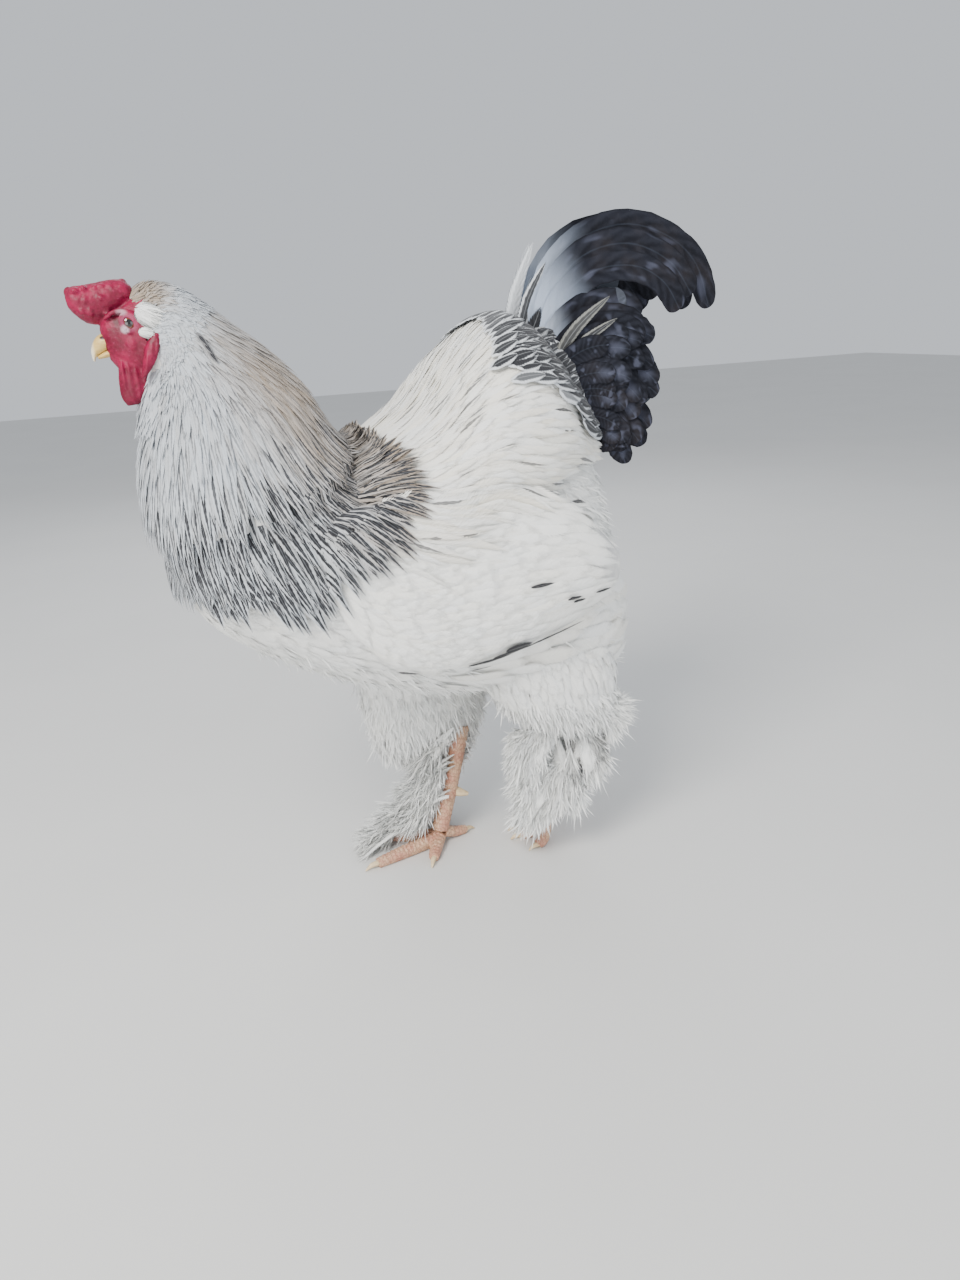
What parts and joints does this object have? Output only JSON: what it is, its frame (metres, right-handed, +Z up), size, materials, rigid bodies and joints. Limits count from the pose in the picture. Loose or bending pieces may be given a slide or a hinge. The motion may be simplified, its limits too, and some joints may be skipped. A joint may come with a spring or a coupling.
{
  "type": "brahma chicken",
  "caption": "Life-size still model of a walking light brahma cock: pea comb, striped hackle cape, raised dark tail and feathered feet.",
  "frame": {"origin": "middle of the footprint box, on the floor under the bird", "axes": "+Z up, the bird heads towards -Y and its left side is at +X"},
  "size_m": [0.2582, 0.5458, 0.5964],
  "materials": {
    "white_feather": "soft matte feather",
    "hackle_feather": "cream feather with dark centre stripes",
    "tail_feather": "slate black feather with grey mottling",
    "comb_skin": "pebbled crimson skin",
    "face_skin": "wrinkled red skin",
    "leg_skin": "scaled orange yellow skin",
    "horn": "satin horn",
    "eye": "wet gloss"
  },
  "bodies": {
    "root": {"beak_lower": "horn", "beak_upper": "horn", "claw_left_hind": "horn", "claw_left_inner": "horn", "claw_left_middle": "horn", "claw_left_outer": "horn", "claw_right_hind": "horn", "claw_right_inner": "horn", "claw_right_middle": "horn", "claw_right_outer": "horn", "comb": "comb_skin", "ear_cover_left": "white_feather", "ear_cover_right": "white_feather", "ear_lobe_left": "comb_skin", "ear_lobe_right": "comb_skin", "eye_left": "eye", "eye_right": "eye", "face": "face_skin", "foot_feathers_left": "white_feather", "foot_feathers_right": "white_feather", "foot_left": "leg_skin", "foot_right": "leg_skin", "head": "white_feather", "neck": "hackle_feather", "saddle": "white_feather", "shank_left": "leg_skin", "shank_right": "leg_skin", "spur_left": "horn", "spur_right": "horn", "tail": "tail_feather", "thigh_left": "white_feather", "thigh_right": "white_feather", "torso": "white_feather", "wattle_left": "comb_skin", "wattle_right": "comb_skin", "wing_left": "white_feather", "wing_right": "white_feather"}
  },
  "joints": []
}
